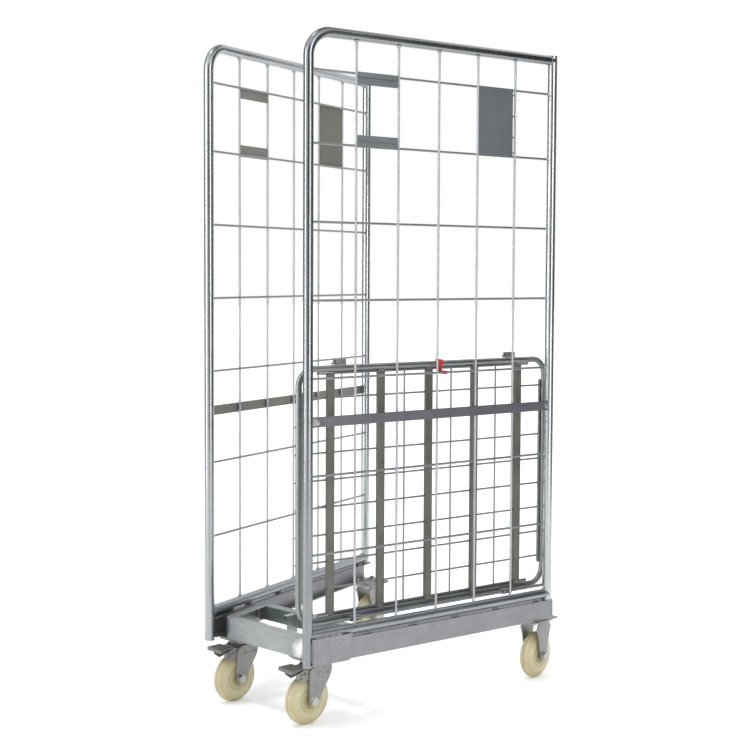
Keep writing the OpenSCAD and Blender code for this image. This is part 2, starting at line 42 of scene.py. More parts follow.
# Sizes in metres, as in the CAD source.
TILT = math.asin(0.160 / 0.778)
SIDE_L = 0.778
HALF_GAP = 0.179
HALF_Y = SIDE_L * math.cos(TILT) / 2
TUBE_R = 0.0125
WHEEL_R = 0.0625
SWIVEL_X, SWIVEL_Y = 0.134, 0.300
TRAIL = 0.034
FIXED_X, FIXED_Y = 0.310, 0.372
SHIFT_Y = (HALF_Y + TUBE_R - FIXED_Y - WHEEL_R) / 2
TOES = {1: math.radians(-8), -1: math.radians(-4)}
WIRE_R = 0.003
WIRES = [0.135 + 0.127 * i for i in range(5)]
LEVELS = [1.588, 1.415, 1.229, 1.042, 0.855, 0.620, 0.429]
TOP_Z, BAND_Z, BOTTOM_Z = 1.6775, 0.752, 0.2355
RAIL_TOP, GUSSET_END = 0.218, 0.120
RING_IN, RING_T, RING_FRONT, RING_BACK = 0.024, 0.003, 0.355, 0.195
DECK_U0, DECK_L, DECK_Z0, DECK_W, DECK_X = -0.0045, 0.794, 0.260, 0.616, -0.034
DECK_MID = DECK_U0 + DECK_L / 2
SLAT_PITCH = 0.152

SIDES = ((1, "right"), (-1, "left"))


def side(s, x, u, z):
    """A point of a side frame in the row frame: x outward, u along it; s is 1 right and -1 left."""
    c, n = math.cos(TILT), math.sin(TILT)
    return Vector((s * (HALF_GAP + x * c + u * n), SHIFT_Y - HALF_Y - x * n + u * c, z))


def side_axes(s):
    """Columns: outward, along and up of a side frame."""
    c, n = math.cos(TILT), math.sin(TILT)
    return Matrix(((s * c, s * n, 0), (-n, c, 0), (0, 0, 1)))


def world(x, y, z):
    """A point of the base, with y measured from the middle of a side's length."""
    return Vector((x, y + SHIFT_Y, z))


def swivel(s, x, y, z):
    """A point of a front caster in its own axes, which are turned by its rest angle."""
    c, n = math.cos(TOES[s]), math.sin(TOES[s])
    return world(s * SWIVEL_X + x * c - y * n, -SWIVEL_Y + x * n + y * c, z)


# ---------- material helpers ----------
def tree(name):
    m = bpy.data.materials.new(name)
    m.use_nodes = True
    nt = m.node_tree
    return m, nt, nt.nodes["Principled BSDF"]


def coords(nt, rot, scale):
    """Object coordinates, turned by rot and then scaled."""
    tc = nt.nodes.new("ShaderNodeTexCoord")
    turned = nt.nodes.new("ShaderNodeMapping")
    turned.inputs["Rotation"].default_value = rot
    nt.links.new(tc.outputs["Object"], turned.inputs["Vector"])
    scaled = nt.nodes.new("ShaderNodeMapping")
    scaled.inputs["Scale"].default_value = scale
    nt.links.new(turned.outputs["Vector"], scaled.inputs["Vector"])
    return scaled.outputs["Vector"]


def noise_tex(nt, vec, scale, detail=3.0, rough=0.55):
    n = nt.nodes.new("ShaderNodeTexNoise")
    n.inputs["Scale"].default_value = scale
    n.inputs["Detail"].default_value = detail
    n.inputs["Roughness"].default_value = rough
    nt.links.new(vec, n.inputs["Vector"])
    return n.outputs["Fac"]


def ramp(nt, fac, stops):
    r = nt.nodes.new("ShaderNodeValToRGB")
    el = r.color_ramp.elements
    while len(el) < len(stops):
        el.new(0.5)
    for e, (p, c) in zip(el, stops):
        e.position = p
        e.color = (*c, 1.0)
    nt.links.new(fac, r.inputs["Fac"])
    return r.outputs["Color"]


def step(nt, fac, lo, hi):
    """Black below lo, white above hi."""
    return ramp(nt, fac, [(lo, (0, 0, 0)), (hi, (1, 1, 1))])


def mix(nt, fac, a, b, mode="MIX"):
    m = nt.nodes.new("ShaderNodeMix")
    m.data_type = "RGBA"
    m.blend_type = mode
    for k, v in ((0, fac), (6, a), (7, b)):
        if hasattr(v, "node"):
            nt.links.new(v, m.inputs[k])
        elif k == 0:
            m.inputs[k].default_value = v
        else:
            m.inputs[k].default_value = (*v, 1.0)
    return m.outputs[2]


def maths(nt, op, a, b=0.0, c=0.0):
    m = nt.nodes.new("ShaderNodeMath")
    m.operation = op
    for k, v in enumerate((a, b, c)):
        if hasattr(v, "node"):
            nt.links.new(v, m.inputs[k])
        else:
            m.inputs[k].default_value = v
    return m.outputs[0]


def bump(nt, b, height, strength, distance):
    bp = nt.nodes.new("ShaderNodeBump")
    bp.inputs["Strength"].default_value = strength
    bp.inputs["Distance"].default_value = distance
    nt.links.new(height, bp.inputs["Height"])
    nt.links.new(bp.outputs["Normal"], b.inputs["Normal"])


def shade(c, k):
    return tuple(min(1.0, max(0.0, x * k)) for x in c)


def surface(metal, rough, streak=0.16, cloud=0.12, spangle=0.05, grime=0.10, relief=0.05):
    """The surface figures of one steel finish, by name."""
    return dict(metal=metal, rough=rough, streak=streak, cloud=cloud, spangle=spangle, grime=grime,
                relief=relief)


# Lengths of the rolling streaks: long up, along a side, or across the base.
UP, ALONG, ACROSS = (300, 300, 4), (300, 5, 300), (5, 300, 300)


def zinc(name, base, rot, grain, look_of, tone=0.74):
    """Zinc plated steel: rolling streaks along grain's smallest axis, clouds, crystal patches and grime."""
    base = shade(base, tone)
    m, nt, b = tree(name)
    v = coords(nt, (0, 0, rot), (1, 1, 1))
    streaks = noise_tex(nt, coords(nt, (0, 0, rot), grain), 1.0, 4.0)
    clouds = noise_tex(nt, v, 9.0, 5.0)
    streak = look_of["streak"]
    col = ramp(nt, streaks, [(0.30, shade(base, 1 - streak)), (0.52, base), (0.72, shade(base, 1 + streak))])
    soft = ramp(nt, clouds, [(0.35, (1 - look_of["cloud"],) * 3), (0.65, (1.0,) * 3)])
    col = mix(nt, 1.0, col, soft, "MULTIPLY")
    cells = nt.nodes.new("ShaderNodeTexVoronoi")
    cells.inputs["Scale"].default_value = 210.0
    nt.links.new(v, cells.inputs["Vector"])
    flake = nt.nodes.new("ShaderNodeSeparateColor")
    nt.links.new(cells.outputs["Color"], flake.inputs["Color"])
    spangle = look_of["spangle"]
    patch = ramp(nt, flake.outputs[0], [(0.0, (1 - spangle,) * 3), (1.0, (1 + spangle * 0.3,) * 3)])
    col = mix(nt, 1.0, col, patch, "MULTIPLY")
    spots = step(nt, noise_tex(nt, v, 38.0, 6.0, 0.7), 0.60, 0.74)
    col = mix(nt, maths(nt, "MULTIPLY", spots, look_of["grime"] * 4), col, shade(base, 0.45))
    nt.links.new(col, b.inputs["Base Color"])
    lo, hi = look_of["rough"]
    r = maths(nt, "MULTIPLY_ADD", clouds, hi - lo, lo)
    nt.links.new(maths(nt, "MULTIPLY_ADD", streaks, 0.10, r), b.inputs["Roughness"])
    b.inputs["Metallic"].default_value = look_of["metal"]
    height = maths(nt, "ADD", streaks, maths(nt, "MULTIPLY", flake.outputs[0], 0.25))
    bump(nt, b, height, look_of["relief"], 0.0006)
    return m


def shaded_by_face(name, outer_shade_col, inner_light_col, s, grain, look_of):
    """Sheet steel with painted light and shade by face: the face outside the cage is painted darker and cooler,
    the inside face lighter and warmer, for how light falls on the near and far sides.
    """
    m = zinc(name, (1.0, 1.0, 1.0), s * TILT, grain, look_of, tone=0.95)
    nt = m.node_tree
    b = nt.nodes["Principled BSDF"]
    col = b.inputs["Base Color"].links[0].from_socket
    geo = nt.nodes.new("ShaderNodeNewGeometry")
    dot = nt.nodes.new("ShaderNodeVectorMath")
    dot.operation = "DOT_PRODUCT"
    dot.inputs[1].default_value = (s * math.cos(TILT), -math.sin(TILT), 0)
    nt.links.new(geo.outputs["True Normal"], dot.inputs[0])
    outside = step(nt, maths(nt, "MULTIPLY_ADD", dot.outputs["Value"], 0.5, 0.5), 0.45, 0.55)
    face = mix(nt, outside, inner_light_col, outer_shade_col)
    nt.links.new(mix(nt, 1.0, face, col, "MULTIPLY"), b.inputs["Base Color"])
    return m


def paint_light_patch(m, centre, radius, col, most):
    """A painted highlight (lighter colour) or painted shade (darker colour) on zinc round a point, softened by
    noise.
    """
    nt = m.node_tree
    b = nt.nodes["Principled BSDF"]
    old = b.inputs["Base Color"].links[0].from_socket
    v = coords(nt, (0, 0, 0), (1, 1, 1))
    far = nt.nodes.new("ShaderNodeVectorMath")
    far.operation = "DISTANCE"
    far.inputs[1].default_value = centre
    nt.links.new(v, far.inputs[0])
    d = maths(nt, "MULTIPLY_ADD", noise_tex(nt, v, 40.0, 3.0), radius * 0.6, far.outputs["Value"])
    f = ramp(nt, maths(nt, "DIVIDE", d, radius), [(0.45, (1, 1, 1)), (1.0, (0, 0, 0))])
    nt.links.new(mix(nt, maths(nt, "MULTIPLY", f, most), old, col), b.inputs["Base Color"])


# Tint of a wheel from hub to tread, by radius over the wheel's own radius.
WHEEL_ZONES = [
    (0.30, (0.60, 0.52, 0.38)), (0.40, (0.92, 0.90, 0.84)), (0.47, (0.84, 0.78, 0.64)), (0.56, (1, 1, 1)),
    (0.74, (0.99, 0.97, 0.92)), (0.84, (0.94, 0.88, 0.74)), (1.0, (0.99, 0.97, 0.92))]
SEAM_X = 0.0040


def wheel_mat(name, centre, toe):
    """Cast nylon: cream, a brown seam near one edge of the stained tread, and a darker hub."""
    m, nt, b = tree(name)
    tc = nt.nodes.new("ShaderNodeTexCoord")
    back = nt.nodes.new("ShaderNodeVectorMath")
    back.operation = "SUBTRACT"
    back.inputs[1].default_value = centre
    nt.links.new(tc.outputs["Object"], back.inputs[0])
    turned = nt.nodes.new("ShaderNodeMapping")
    turned.inputs["Rotation"].default_value = (0, 0, -toe)
    nt.links.new(back.outputs["Vector"], turned.inputs["Vector"])
    v = turned.outputs["Vector"]
    sep = nt.nodes.new("ShaderNodeSeparateXYZ")
    nt.links.new(v, sep.inputs["Vector"])
    x, y, z = sep.outputs
    rad = maths(nt, "SQRT", maths(nt, "ADD", maths(nt, "MULTIPLY", y, y), maths(nt, "MULTIPLY", z, z)))
    clouds = noise_tex(nt, v, 24.0, 4.0)
    base = ramp(nt, clouds, [(0.3, (0.50, 0.455, 0.285)), (0.7, (0.60, 0.565, 0.39))])
    rr = maths(nt, "MULTIPLY", rad, 1 / WHEEL_R)
    col = mix(nt, 1.0, base, ramp(nt, rr, WHEEL_ZONES), "MULTIPLY")
    tread = step(nt, rr, 0.975, 0.99)
    grit = step(nt, noise_tex(nt, v, 120.0, 5.0, 0.7), 0.4, 0.75)
    col = mix(nt, maths(nt, "MULTIPLY", maths(nt, "MULTIPLY", tread, grit), 0.45), col, (0.42, 0.38, 0.28))
    seam_x = maths(nt, "ABSOLUTE", maths(nt, "ADD", x, -SEAM_X))
    seam = ramp(nt, maths(nt, "MULTIPLY", seam_x, 800.0), [(0.35, (1, 1, 1)), (0.95, (0, 0, 0))])
    outer = step(nt, rr, 0.955, 0.97)
    col = mix(nt, maths(nt, "MULTIPLY", maths(nt, "MULTIPLY", seam, outer), 0.75), col, (0.25, 0.11, 0.035))
    nt.links.new(col, b.inputs["Base Color"])
    nt.links.new(maths(nt, "MULTIPLY_ADD", clouds, 0.16, 0.30), b.inputs["Roughness"])
    b.inputs["Subsurface Weight"].default_value = 0.12
    b.inputs["Subsurface Radius"].default_value = (0.006, 0.004, 0.002)
    bump(nt, b, noise_tex(nt, v, 300.0, 3.0), 0.12, 0.0008)
    return m


def plastic(name, base):
    m, nt, b = tree(name)
    n = noise_tex(nt, coords(nt, (0, 0, 0), (1, 1, 1)), 160.0, 4.0)
    nt.links.new(ramp(nt, n, [(0.3, shade(base, 0.82)), (0.7, base)]), b.inputs["Base Color"])
    nt.links.new(maths(nt, "MULTIPLY_ADD", n, 0.2, 0.25), b.inputs["Roughness"])
    bump(nt, b, n, 0.15, 0.0004)
    return m


# ---------- looks of the CAD nodes ----------
TUBE = (0.56, 0.585, 0.60)
# Painted light and shade on the tubes, by side and part: the right side's frame tube is painted darker, the
# left side's lighter and the rear uprights lighter still, for how light falls on them.
FRAME_PAINTED_SHADE = {1: 0.56, -1: 0.76}
REAR_PAINTED_LIGHT = 0.95
PRESSING = surface(0.75, (0.30, 0.46), 0.12, 0.20, 0.10, 0.14)
BRIGHT = surface(0.95, (0.16, 0.30), 0.08, 0.12, 0.02, 0.12)

# Each side's plain steel: node, material name, colour, whether its grain turns with the side, grain, finish.
SIDE_STEEL = (
    ("bottom_tube", "zinc_bottom_{}", (0.50, 0.53, 0.56), 1, ALONG,
     surface(0.92, (0.18, 0.34), 0.20, 0.12, 0.02)),
    ("upright_wires", "zinc_wire_up_{}", (0.68, 0.70, 0.72), 1, UP,
     surface(0.85, (0.24, 0.42), 0.10, 0.10, 0.02)),
    ("level_wires", "zinc_wire_level_{}", (0.44, 0.46, 0.48), 1, ALONG,
     surface(0.9, (0.24, 0.42), 0.12, 0.14, 0.02)),
    ("rail", "zinc_rail_{}", (0.47, 0.475, 0.50), 1, ALONG, surface(0.75, (0.34, 0.50), 0.07, 0.16, 0.07)),
    ("gusset", "zinc_gusset_{}", (0.47, 0.47, 0.50), 1, UP,
     surface(0.7, (0.36, 0.52), 0.06, 0.18, 0.09, 0.16)),
    ("swivel_plate", "pressing_{}_swivel_plate", (0.50, 0.50, 0.49), 0, UP, PRESSING),
    ("swivel_fork", "pressing_{}_swivel_fork", (0.50, 0.50, 0.49), 0, UP, PRESSING),
    ("fixed_fork", "pressing_{}_fixed_fork", (0.50, 0.50, 0.49), 0, UP, PRESSING),
    ("brake_housing", "pressing_{}_brake", (0.48, 0.475, 0.46), 0, ALONG,
     surface(0.75, (0.30, 0.46), 0.14, 0.22, 0.08, 0.20)),
    ("brake_pedal", "pressing_{}_pedal", (0.33, 0.32, 0.29), 0, ALONG,
     surface(0.75, (0.32, 0.50), 0.16, 0.26, 0.08, 0.25)),
    ("kingpin", "bright_{}_kingpin", (0.70, 0.70, 0.69), 0, UP, BRIGHT),
    ("front_axle", "bright_{}_front_axle", (0.70, 0.70, 0.69), 0, UP, BRIGHT),
    ("rear_axle", "bright_{}_rear_axle", (0.70, 0.70, 0.69), 0, UP, BRIGHT))
# Each side's sheet: node, material name, outer colour (painted shade), inner colour (painted light), grain,
# finish.
SIDE_SHEET = (
    ("waist_band", "zinc_band_{}", (0.21, 0.21, 0.235), (0.27, 0.265, 0.235), ALONG,
     surface(0.8, (0.30, 0.46), 0.10)),
    ("card_strips", "sheet_strip_{}", (0.19, 0.21, 0.22), (0.25, 0.25, 0.22), ALONG,
     surface(0.35, (0.40, 0.55), 0.06)),
    ("label_plate", "sheet_plate_{}", (0.156, 0.178, 0.190), (0.19, 0.19, 0.165), UP,
     surface(0.35, (0.42, 0.55), 0.05)))
# The base and the deck: node, material name, colour, turn of the grain, grain, finish.
OTHER_STEEL = (
    ("hinge_rod", "zinc_rod", (0.46, 0.48, 0.50), TILT, ALONG,
     surface(0.9, (0.20, 0.36), 0.12, 0.10, 0.02)),
    ("front_ring", "zinc_ring", (0.50, 0.53, 0.535), 0, ACROSS,
     surface(0.75, (0.30, 0.46), 0.07, 0.20, 0.07, 0.12)),
    ("cross_member", "zinc_cross", (0.42, 0.48, 0.485), 0, ACROSS,
     surface(0.75, (0.34, 0.50), 0.07, 0.22, 0.07, 0.14)),
    ("cross_bracket", "zinc_bracket", (0.56, 0.60, 0.61), 0, UP,
     surface(0.8, (0.28, 0.42), 0.06, 0.14, 0.06)),
    ("front_seats", "zinc_seats", (0.42, 0.42, 0.39), 0, ACROSS,
     surface(0.7, (0.36, 0.52), 0.08, 0.20, 0.08, 0.16)),
    ("caster_bolts", "bright_bolts", (0.66, 0.66, 0.62), 0, UP,
     surface(0.95, (0.18, 0.34), 0.08, 0.14, 0.02, 0.14)),
    ("deck_frame", "deck_tube", (0.44, 0.46, 0.46), TILT, ALONG,
     surface(0.92, (0.18, 0.34), 0.14, 0.14, 0.02)),
    ("deck_stiffeners", "deck_stiff", (0.35, 0.37, 0.37), TILT, ALONG,
     surface(0.9, (0.20, 0.36), 0.12, 0.14, 0.02)),
    ("deck_slats", "deck_slat", (0.24, 0.24, 0.21), TILT, UP,
     surface(0.6, (0.36, 0.52), 0.10, 0.20, 0.05, 0.14)),
    ("deck_long_wires", "deck_wire_l", (0.42, 0.43, 0.42), TILT, ALONG,
     surface(0.88, (0.24, 0.40), 0.12, 0.14, 0.02)),
    ("deck_cross_wires", "deck_wire_c", (0.40, 0.41, 0.40), TILT, UP,
     surface(0.88, (0.24, 0.40), 0.12, 0.14, 0.02)),
    ("deck_hinge_sleeves", "deck_sleeve", (0.40, 0.41, 0.40), TILT, ALONG,
     surface(0.85, (0.26, 0.42), 0.12, 0.14, 0.04)),
    ("deck_edge_hooks", "deck_hook", (0.40, 0.41, 0.41), TILT, UP,
     surface(0.8, (0.28, 0.44), 0.10, 0.16, 0.05, 0.16)))

look = {}
for s, sn in SIDES:
    # The frame tubes and rear uprights take the painted light and shade of these tone values.
    for n, mat, tone, streak in (("frame_tube", "zinc_tube_", FRAME_PAINTED_SHADE[s], 0.10),
                                 ("rear_upright", "zinc_upright_", REAR_PAINTED_LIGHT, 0.12)):
        look[f"{sn}_{n}"] = zinc(mat + sn, TUBE, s * TILT, UP,
                                 surface(0.96, (0.14, 0.24), streak, 0.10, 0.02, 0.08, 0.005), tone)
    for n, mat, col, turned, grain, fin in SIDE_STEEL:
        look[f"{sn}_{n}"] = zinc(mat.format(sn), col, s * TILT * turned, grain, fin)
    # Each sheet's faces are painted darker outside and lighter inside, as painted light and shade.
    for n, mat, outer_shade_col, inner_light_col, grain, fin in SIDE_SHEET:
        look[f"{sn}_{n}"] = shaded_by_face(mat.format(sn), outer_shade_col, inner_light_col, s, grain, fin)
    look[f"{sn}_front_wheel"] = wheel_mat(f"nylon_{sn}_front", swivel(s, 0, -TRAIL, WHEEL_R), TOES[s])
    look[f"{sn}_rear_wheel"] = wheel_mat(f"nylon_{sn}_rear", world(s * FIXED_X, FIXED_Y, WHEEL_R), 0)
for n, mat, col, rot, grain, fin in OTHER_STEEL:
    look[n] = zinc(mat, col, rot, grain, fin)
look["rear_seats"] = look["front_seats"]
look["deck_clip"] = plastic("clip_red", (0.60, 0.015, 0.03))
# Painted light on the ring's front bar: a painted reflection (a white glare) near its right end, and painted
# shade darkening its left end.
paint_light_patch(look["front_ring"], world(0.128, -RING_FRONT, 0.186), 0.045, (0.97, 0.98, 0.98), 0.8)
paint_light_patch(look["front_ring"], world(-0.135, -0.352, 0.190), 0.075, (0.22, 0.25, 0.26), 0.75)
for n, m in look.items():
    me = nodes[n].data
    me.materials.clear()
    me.materials.append(m)

# Softened sheet edges that catch the light.
SIDE_EDGES = {"rail": 0.0011, "gusset": 0.0009, "waist_band": 0.0009, "swivel_plate": 0.0008,
              "swivel_fork": 0.0009, "fixed_fork": 0.0009, "brake_housing": 0.0006, "brake_pedal": 0.0007}
OTHER_EDGES = {"front_ring": 0.0011, "cross_member": 0.0011, "cross_bracket": 0.0008, "front_seats": 0.0008,
               "rear_seats": 0.0008, "deck_slats": 0.0008, "deck_clip": 0.0009, "deck_edge_hooks": 0.0006}
softened = {f"{sn}_{n}": w for n, w in SIDE_EDGES.items() for _, sn in SIDES}
softened.update(OTHER_EDGES)
for n, w in softened.items():
    o = nodes[n]
    weld = o.modifiers.new("weld", "WELD")
    weld.merge_threshold = 1e-5
    bev = o.modifiers.new("soft_edges", "BEVEL")
    bev.width = w
    bev.segments = 2
    bev.limit_method = "ANGLE"
    bev.angle_limit = math.radians(50)
    bev.use_clamp_overlap = True


# ---------- weld beads ----------
class Mesh:
    """Collects small lumps, beads and collars into one mesh that rides on a body."""

    def __init__(self, name, body, mat, slot):
        self.name, self.body, self.mat, self.slot = name, body, mat, slot
        self.v, self.f = [], []

    def skin(self, base, rows, seg):
        """Faces between rows of seg points each, from point base on."""
        for i in range(rows):
            for j in range(seg):
                a, b = base + i * seg + j, base + i * seg + (j + 1) % seg
                self.f.append((a, b, b + seg, a + seg))

    def lump(self, c, r, seed=0, axes=None, rings=6, seg=10):
        """A squashed ball of radii r, roughened by noise, in the given axes."""
        axes = axes or Matrix.Identity(3)
        base = len(self.v)
        for i in range(rings + 1):
            a = math.pi * i / rings
            for j in range(seg):
                b = 2 * math.pi * j / seg
                d = Vector((math.sin(a) * math.cos(b), math.sin(a) * math.sin(b), math.cos(a)))
                k = 1 + 0.16 * noise.noise(d * 1.7 + Vector((seed * 3.1, seed * 1.3, seed)))
                self.v.append(Vector(c) + axes @ Vector((d.x * r[0] * k, d.y * r[1] * k, d.z * r[2] * k)))
        self.skin(base, rings, seg)

    def bead(self, a, b, r, seed=0, pitch=0.0035, seg=8):
        """A ripple weld from a to b: a round bar whose radius swells at each ripple."""
        a, b = Vector(a), Vector(b)
        d = (b - a).normalized()
        across = d.orthogonal().normalized()
        over = d.cross(across)
        n = max(4, int((b - a).length / (pitch / 4)))
        base = len(self.v)
        for i in range(n + 1):
            t = i / n
            end = min(1.0, 6 * min(t, 1 - t) + 0.25)
            wob = noise.noise(Vector((seed * 7.7, t * 9.0, seed)))
            k = r * end * (1 + 0.22 * abs(math.sin(math.pi * i / 4)) + 0.25 * wob)
            c = a + (b - a) * t + across * (wob * r * 0.3)
            for j in range(seg):
                q = 2 * math.pi * j / seg
                self.v.append(c + (across * math.cos(q) + over * math.sin(q)) * k)
        self.skin(base, n, seg)
        self.f.append(tuple(base + j for j in reversed(range(seg))))
        self.f.append(tuple(base + n * seg + j for j in range(seg)))

    def collar(self, c, axis, r0, r1, h, seg=14, seed=0):
        """A small flared fillet round a wire: r0 at the joint, r1 at height h along axis."""
        c, d = Vector(c), Vector(axis).normalized()
        sx = d.orthogonal().normalized()
        sy = d.cross(sx)
        base = len(self.v)
        rows = [(0.0, r0), (0.18, r0 * 0.9), (0.5, r1 + (r0 - r1) * 0.35), (1.0, r1)]
        for t, r in rows:
            for j in range(seg):
                q = 2 * math.pi * j / seg
                k = 1 + 0.08 * noise.noise(Vector((math.cos(q) * 2 + seed, math.sin(q) * 2, t + seed * 2.3)))
                self.v.append(c + d * (h * t) + (sx * math.cos(q) + sy * math.sin(q)) * r * k)
        self.skin(base, len(rows) - 1, seg)

    def done(self):
        me = bpy.data.meshes.new(self.name)
        me.from_pydata([tuple(p) for p in self.v], [], self.f)
        me.validate()
        me.shade_smooth()
        me.materials.append(self.mat)
        o = bpy.data.objects.new(self.name, me)
        bpy.context.scene.collection.objects.link(o)
        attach(o, self.body)
        return o


BEAD_GRAIN = (90, 90, 90)
weld_bright = zinc("weld_bright", (0.60, 0.61, 0.62), 0, BEAD_GRAIN,
                   surface(0.85, (0.26, 0.45), 0.16, 0.25, 0.02, 0.20, 0.2))
# Painted shade: a dark weld material that stands in for the shade in the gusset's weld ripple under the tube.
weld_painted_shade = zinc("weld_painted_shade", (0.19, 0.185, 0.18), 0, BEAD_GRAIN,
                  surface(0.7, (0.40, 0.60), 0.30, 0.30, 0.02, 0.30, 0.2))
weld_dark = zinc("weld_dark", (0.42, 0.42, 0.40), 0, BEAD_GRAIN,
                 surface(0.8, (0.34, 0.55), 0.20, 0.30, 0.02, 0.30, 0.2))
base = "base"
up = Vector((0, 0, 1))


def wire_welds(s, sn, axes):
    """Where the wires meet the tubes, each other and the waist band."""
    along = axes.col[1].copy()
    w = Mesh(f"{sn}_wire_welds", base, weld_bright, "zinc_steel")
    for i, u in enumerate(WIRES):
        w.collar(side(s, WIRE_R, u, TOP_Z - 0.0120), -up, 0.0062, 0.0031, 0.007, seed=i)
        w.collar(side(s, WIRE_R, u, BOTTOM_Z + 0.0115), up, 0.0058, 0.0031, 0.006, seed=i + 9)
        for k, z in enumerate(LEVELS):
            w.lump(side(s, 0.0, u, z), (0.0022, 0.0036, 0.0036), i * 11 + k, axes)
        w.lump(side(s, 0.006, u, BAND_Z + 0.008), (0.0012, 0.004, 0.003), i + 77, axes)
        w.lump(side(s, 0.006, u, BAND_Z - 0.008), (0.0012, 0.004, 0.003), i + 97, axes)
    for k, z in enumerate(LEVELS):
        w.collar(side(s, -WIRE_R, 0.0118, z), along, 0.0048, 0.0031, 0.005, seed=k + 30)
        w.collar(side(s, -WIRE_R, SIDE_L - 0.0118, z), -along, 0.0048, 0.0031, 0.005, seed=k + 40)
    w.done()


def tube_welds(s, sn, axes):
    """The gusset's beads, the tube ends, the band's ends, the rail stitches and the rear upright's foot."""
    b = Mesh(f"{sn}_tube_welds", base, weld_bright, "zinc_steel")
    x1 = TUBE_R
    b.bead(side(s, x1 + 0.0010, 0.010, 0.2312), side(s, x1 + 0.0010, 0.098, 0.2312), 0.0034, 3 + s, 0.006)
    b.bead(side(s, x1 - 0.001, 0.0065, 0.168), side(s, x1 - 0.001, 0.0065, 0.226), 0.0028, 5 + s)
    b.bead(side(s, x1 + 0.001, GUSSET_END, 0.170), side(s, x1 + 0.001, GUSSET_END, 0.196), 0.0017, 8 + s)
    for q in range(10):
        a = math.pi * (q / 9.0) * 1.6 - 0.8
        x, dz = 0.0122 * math.cos(a), 0.0122 * math.sin(a)
        b.lump(side(s, x, 0.0118, BOTTOM_Z + dz), (0.0026, 0.0020, 0.0026), q + 50, axes)
        b.lump(side(s, x, SIDE_L - 0.0118, BOTTOM_Z + dz), (0.0026, 0.0020, 0.0026), q + 70, axes)
        b.lump(side(s, x, SIDE_L - 0.0118, TOP_Z + dz), (0.0024, 0.0018, 0.0024), q + 90, axes)
    b.bead(side(s, 0.0090, 0.0100, 0.7420), side(s, 0.0090, 0.0100, 0.7640), 0.0032, 12)
    b.lump(side(s, 0.0102, 0.018, BAND_Z), (0.0016, 0.012, 0.0085), 21, axes, 8, 14)
    b.lump(side(s, 0.0102, SIDE_L - 0.016, BAND_Z), (0.0014, 0.008, 0.0080), 22, axes, 8, 14)
    b.bead(side(s, 0.0090, SIDE_L - 0.0100, 0.7420), side(s, 0.0090, SIDE_L - 0.0100, 0.7640), 0.0028, 13)
    for q in range(5):
        u = 0.16 + q * 0.14
        b.bead(side(s, 0.004, u, RAIL_TOP + 0.002), side(s, 0.004, u + 0.028, RAIL_TOP + 0.002), 0.0022, 30 + q)
    for q in range(12):
        a = 2 * math.pi * q / 12
        foot = side(s, 0.0128 * math.cos(a), SIDE_L + 0.0128 * math.sin(a), RAIL_TOP + 0.0005)
        b.lump(foot, (0.0027, 0.0027, 0.0020), q + 110, axes)
    b.done()


def gusset_welds(s, sn, axes):
    """The dark ripple along the gusset's top and front edges: painted shade for the dark speckle of the weld in
    the crease under the tube.
    """
    g = Mesh(f"{sn}_gusset_welds", base, weld_painted_shade, "zinc_steel")
    for q in range(24):
        top = side(s, TUBE_R + 0.0042, 0.007 + q * 0.0043, 0.2303 + 0.0008 * (q % 3))
        g.lump(top, (0.0016, 0.0019, 0.0016), q + 130, axes)
    for q in range(9):
        g.lump(side(s, TUBE_R + 0.0046, 0.0052, 0.170 + q * 0.0066), (0.0012, 0.0014, 0.0022), q + 160, axes)
    g.done()


def sheet_welds(s, sn, axes):
    """Spot welds of the card strips and of the label plate on the upright wires."""
    d = Mesh(f"{sn}_sheet_welds", base, weld_dark, "sheet_steel")
    for z, zo in ((LEVELS[0], -0.010), (LEVELS[0], -0.020), (LEVELS[1], 0.010), (LEVELS[1], 0.020)):
        for u, e in ((WIRES[0], 1), (WIRES[1], -1)):
            d.lump(side(s, 0.0008, u + e * 0.0035, z + zo), (0.0018, 0.0022, 0.0026), int(1000 * z) + e, axes)
    for z in (1.575, 1.52, 1.465, 1.425):
        d.lump(side(s, 0.0008, WIRES[3] + 0.0035, z), (0.0018, 0.0022, 0.0030), int(1000 * z), axes)
        d.lump(side(s, 0.0008, WIRES[4] - 0.0048, z), (0.0016, 0.0030, 0.0026), int(1000 * z) + 1, axes)
    d.done()


def ring_welds():
    """The cross member and its bracket in the ring, and the ring's lower edge on the rails."""
    w = Mesh("ring_welds", base, weld_bright, "zinc_steel")
    ring_c = HALF_GAP * math.cos(TILT) + HALF_Y * math.sin(TILT) - RING_IN
    web = -RING_BACK - 0.0040
    for s, _ in SIDES:
        xin = (ring_c - RING_T + math.sin(TILT) * -RING_BACK) / math.cos(TILT)
        w.bead(world(s * (xin - 0.001), web, 0.182), world(s * (xin - 0.001), web, 0.213), 0.0030, 3)
        inner, outer = world(s * (xin - 0.027), -0.1958, RAIL_TOP), world(s * (xin - 0.004), -0.1954, RAIL_TOP)
        w.bead(inner, outer, 0.0022, 5)
        for q in range(3):
            y = -0.315 + q * 0.038
            x = s * (ring_c + 0.002 + math.sin(TILT) * y) / math.cos(TILT)
            w.bead(world(x, y, 0.1665), world(x + s * 0.004, y + 0.020, 0.1665), 0.0022, 9 + q)
    for x, seed in ((-0.0413, 15), (-0.0457, 16)):
        w.bead(world(x, -0.1988, 0.182), world(x, -0.1988, 0.212), 0.0022, seed)
    w.done()


